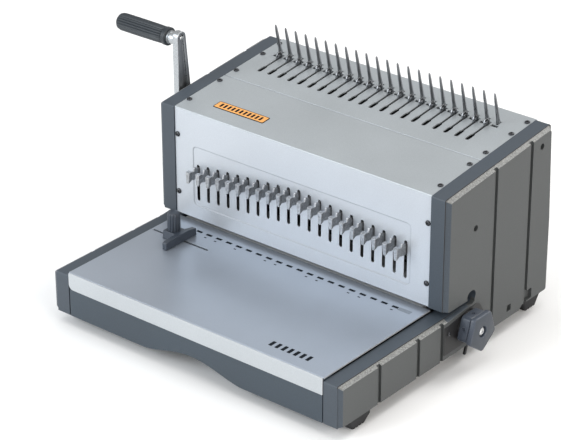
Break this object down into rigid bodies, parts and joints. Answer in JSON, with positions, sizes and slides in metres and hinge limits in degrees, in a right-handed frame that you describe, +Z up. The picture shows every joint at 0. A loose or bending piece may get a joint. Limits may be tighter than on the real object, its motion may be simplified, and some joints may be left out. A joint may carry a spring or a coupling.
{
  "type": "comb binding machine",
  "caption": "Desktop comb binding machine with a slotted punch front, paper tray, comb-opening tines and hooks on top, side lever and margin knob.",
  "frame": {"origin": "centre of the outline's box at table level, under the feet", "axes": "+X to the operator's right, along the row of tines; +Y towards the back; +Z up"},
  "size_m": [0.514, 0.37, 0.2686],
  "materials": {
    "silver_paint": "satin silver paint with a fine grain",
    "tray_steel": "satin silver-grey paint",
    "slate_plastic": "fine moulded grain",
    "dark_plastic": "satin moulded plastic",
    "grip_plastic": "ribbed moulded plastic",
    "rubber": "matt black",
    "bare_steel": "machined",
    "tine_steel": "pressed and plated",
    "die_zinc": "dull zinc plate",
    "cast_aluminium": "satin cast",
    "motor_black": "black enamel"
  },
  "bodies": {
    "frame": {"base_pan": "bare_steel", "front_skirt": "slate_plastic", "tray_plate": "tray_steel", "front_panel": "silver_paint", "top_front_cover": "silver_paint", "top_rear_cover": "silver_paint", "rear_cover": "silver_paint", "side_plate_left": "bare_steel", "side_plate_right": "bare_steel", "left_cap": "slate_plastic", "right_cap": "slate_plastic", "punch_guide": "bare_steel", "die_plate": "bare_steel", "gearbox": "cast_aluminium", "gear_motor": "motor_black", "comb_tines": "tine_steel", "power_inlet": "dark_plastic", "pedal_socket": "dark_plastic", "foot_front_left": "rubber", "foot_mid_left": "rubber", "foot_rear_left": "rubber", "foot_front_right": "rubber", "foot_mid_right": "rubber", "foot_rear_right": "rubber"},
    "punch": {"punch_bar": "bare_steel"},
    "drive": {"drive_shaft": "bare_steel", "drive_pinion_left": "bare_steel", "drive_pinion_right": "bare_steel"},
    "opener": {"opener_lever": "cast_aluminium", "lever_shaft": "bare_steel"},
    "grip": {"lever_grip": "grip_plastic"},
    "hooks": {"hook_slide": "tine_steel"},
    "margin": {"margin_knob": "dark_plastic", "margin_shaft": "bare_steel"},
    "stop": {"back_stop": "bare_steel"},
    "guide": {"edge_guide": "dark_plastic"},
    "guide_clamp": {"guide_knob": "dark_plastic"},
    "drawer": {"chip_drawer": "dark_plastic"},
    "rocker": {"power_switch": "dark_plastic"},
    "tab_01": {"die_tab_01": "die_zinc"},
    "tab_02": {"die_tab_02": "die_zinc"},
    "tab_03": {"die_tab_03": "die_zinc"},
    "tab_04": {"die_tab_04": "die_zinc"},
    "tab_05": {"die_tab_05": "die_zinc"},
    "tab_06": {"die_tab_06": "die_zinc"},
    "tab_07": {"die_tab_07": "die_zinc"},
    "tab_08": {"die_tab_08": "die_zinc"},
    "tab_09": {"die_tab_09": "die_zinc"},
    "tab_10": {"die_tab_10": "die_zinc"},
    "tab_11": {"die_tab_11": "die_zinc"},
    "tab_12": {"die_tab_12": "die_zinc"},
    "tab_13": {"die_tab_13": "die_zinc"},
    "tab_14": {"die_tab_14": "die_zinc"},
    "tab_15": {"die_tab_15": "die_zinc"},
    "tab_16": {"die_tab_16": "die_zinc"},
    "tab_17": {"die_tab_17": "die_zinc"},
    "tab_18": {"die_tab_18": "die_zinc"},
    "tab_19": {"die_tab_19": "die_zinc"},
    "tab_20": {"die_tab_20": "die_zinc"},
    "tab_21": {"die_tab_21": "die_zinc"}
  },
  "joints": [
    {"name": "punch_stroke", "type": "slide", "parent": "frame", "child": "punch", "axis": [0, 0, -1], "range_m": [0, 0.0198]},
    {"name": "drive_turn", "type": "hinge", "parent": "frame", "child": "drive", "pos_m": [0.037, 0.03, 0.128], "axis": [1, 0, 0], "range_deg": [0, 95]},
    {"name": "opener_swing", "type": "hinge", "parent": "frame", "child": "opener", "pos_m": [-0.164, 0.041, 0.157], "axis": [1, 0, 0], "range_deg": [0, 50]},
    {"name": "hook_travel", "type": "slide", "parent": "frame", "child": "hooks", "axis": [0, -0.9952, -0.0976], "range_m": [0, 0.0311]},
    {"name": "grip_spin", "type": "hinge", "parent": "opener", "child": "grip", "pos_m": [-0.182, 0.035, 0.258], "axis": [1, 0, 0], "continuous": true},
    {"name": "margin_turn", "type": "hinge", "parent": "frame", "child": "margin", "pos_m": [0.2375, 0.028, 0.0423], "axis": [1, 0, 0], "range_deg": [-30, 30]},
    {"name": "stop_shift", "type": "slide", "parent": "frame", "child": "stop", "axis": [0, 1, 0], "range_m": [-0.0036, 0.0036]},
    {"name": "guide_shift", "type": "slide", "parent": "frame", "child": "guide", "axis": [1, 0, 0], "range_m": [-0.027, 0.046]},
    {"name": "guide_clamp_turn", "type": "hinge", "parent": "guide", "child": "guide_clamp", "pos_m": [-0.1044, -0.051, 0.077], "axis": [0, 0, 1], "range_deg": [-90, 90]},
    {"name": "drawer_pull", "type": "slide", "parent": "frame", "child": "drawer", "axis": [0, 1, 0], "range_m": [0, 0.15]},
    {"name": "rocker_tilt", "type": "hinge", "parent": "frame", "child": "rocker", "pos_m": [0.184, 0.175, 0.078], "axis": [1, 0, 0], "range_deg": [0, 12]},
    {"name": "tab_01_pull", "type": "slide", "parent": "punch", "child": "tab_01", "axis": [0, -1, 0], "range_m": [0, 0.006]},
    {"name": "tab_02_pull", "type": "slide", "parent": "punch", "child": "tab_02", "axis": [0, -1, 0], "range_m": [0, 0.006]},
    {"name": "tab_03_pull", "type": "slide", "parent": "punch", "child": "tab_03", "axis": [0, -1, 0], "range_m": [0, 0.006]},
    {"name": "tab_04_pull", "type": "slide", "parent": "punch", "child": "tab_04", "axis": [0, -1, 0], "range_m": [0, 0.006]},
    {"name": "tab_05_pull", "type": "slide", "parent": "punch", "child": "tab_05", "axis": [0, -1, 0], "range_m": [0, 0.006]},
    {"name": "tab_06_pull", "type": "slide", "parent": "punch", "child": "tab_06", "axis": [0, -1, 0], "range_m": [0, 0.006]},
    {"name": "tab_07_pull", "type": "slide", "parent": "punch", "child": "tab_07", "axis": [0, -1, 0], "range_m": [0, 0.006]},
    {"name": "tab_08_pull", "type": "slide", "parent": "punch", "child": "tab_08", "axis": [0, -1, 0], "range_m": [0, 0.006]},
    {"name": "tab_09_pull", "type": "slide", "parent": "punch", "child": "tab_09", "axis": [0, -1, 0], "range_m": [0, 0.006]},
    {"name": "tab_10_pull", "type": "slide", "parent": "punch", "child": "tab_10", "axis": [0, -1, 0], "range_m": [0, 0.006]},
    {"name": "tab_11_pull", "type": "slide", "parent": "punch", "child": "tab_11", "axis": [0, -1, 0], "range_m": [0, 0.006]},
    {"name": "tab_12_pull", "type": "slide", "parent": "punch", "child": "tab_12", "axis": [0, -1, 0], "range_m": [0, 0.006]},
    {"name": "tab_13_pull", "type": "slide", "parent": "punch", "child": "tab_13", "axis": [0, -1, 0], "range_m": [0, 0.006]},
    {"name": "tab_14_pull", "type": "slide", "parent": "punch", "child": "tab_14", "axis": [0, -1, 0], "range_m": [0, 0.006]},
    {"name": "tab_15_pull", "type": "slide", "parent": "punch", "child": "tab_15", "axis": [0, -1, 0], "range_m": [0, 0.006]},
    {"name": "tab_16_pull", "type": "slide", "parent": "punch", "child": "tab_16", "axis": [0, -1, 0], "range_m": [0, 0.006]},
    {"name": "tab_17_pull", "type": "slide", "parent": "punch", "child": "tab_17", "axis": [0, -1, 0], "range_m": [0, 0.006]},
    {"name": "tab_18_pull", "type": "slide", "parent": "punch", "child": "tab_18", "axis": [0, -1, 0], "range_m": [0, 0.006]},
    {"name": "tab_19_pull", "type": "slide", "parent": "punch", "child": "tab_19", "axis": [0, -1, 0], "range_m": [0, 0.006]},
    {"name": "tab_20_pull", "type": "slide", "parent": "punch", "child": "tab_20", "axis": [0, -1, 0], "range_m": [0, 0.006]},
    {"name": "tab_21_pull", "type": "slide", "parent": "punch", "child": "tab_21", "axis": [0, -1, 0], "range_m": [0, 0.006]}
  ],
  "couplings": [
    {"joint": "drive_turn", "follows": "punch_stroke", "rad_per_m": 83.333},
    {"joint": "hook_travel", "follows": "opener_swing", "m_per_rad": 0.035523},
    {"joint": "stop_shift", "follows": "margin_turn", "m_per_rad": -0.006685}
  ]
}
